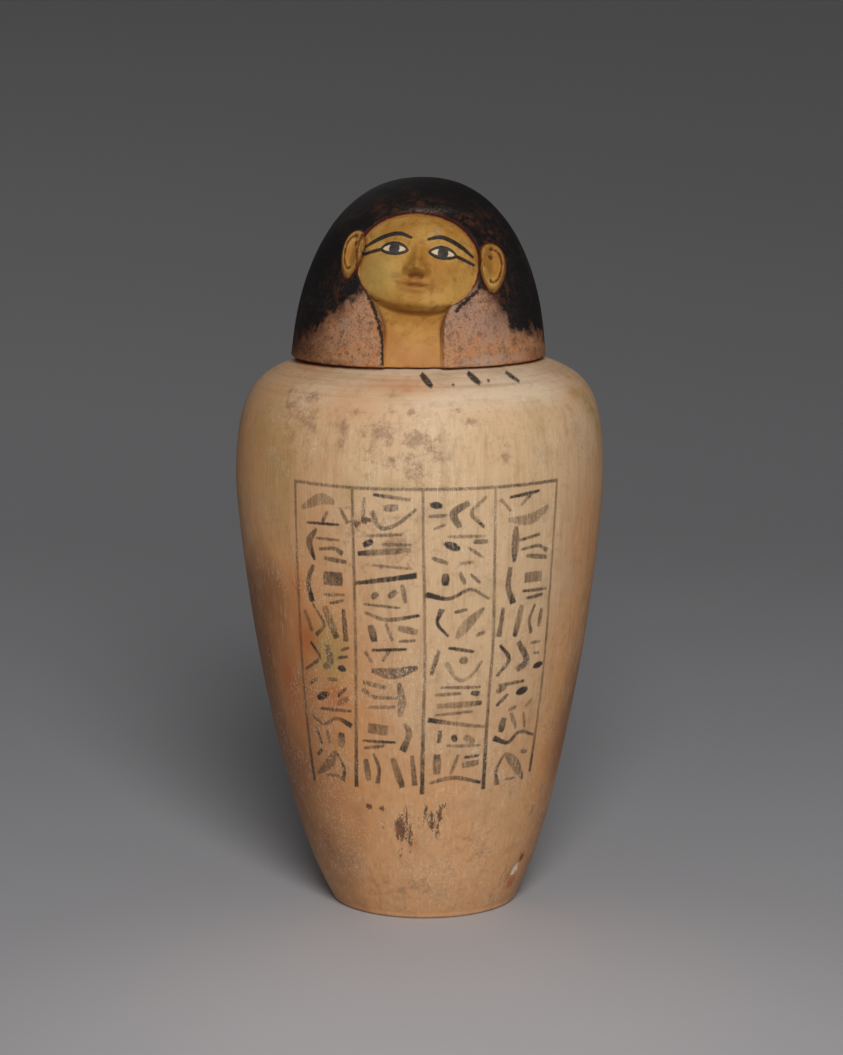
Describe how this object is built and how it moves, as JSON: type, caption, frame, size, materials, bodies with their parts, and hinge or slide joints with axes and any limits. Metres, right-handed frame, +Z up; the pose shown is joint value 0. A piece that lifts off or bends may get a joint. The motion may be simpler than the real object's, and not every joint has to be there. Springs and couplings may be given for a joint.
{
  "type": "canopic jar",
  "caption": "Tall hollow pottery jar with a painted panel, tapering to a flat foot, under a loose hollow lid in the form of a head in a plain wig.",
  "frame": {"origin": "on the ground under the middle of the jar's widest part", "axes": "+Z up through the jar, -Y out of the painted panel and the face, +X to the right of someone looking at the face"},
  "size_m": [0.1918, 0.1918, 0.38],
  "materials": {
    "jar_pottery": "burnished buff pottery with worn ink, stains and scratches",
    "lid_pottery": "pottery painted black, yellow ochre and red, the paint worn off near the edge"
  },
  "bodies": {
    "root": {"jar": "jar_pottery", "lid": "lid_pottery"}
  },
  "joints": []
}
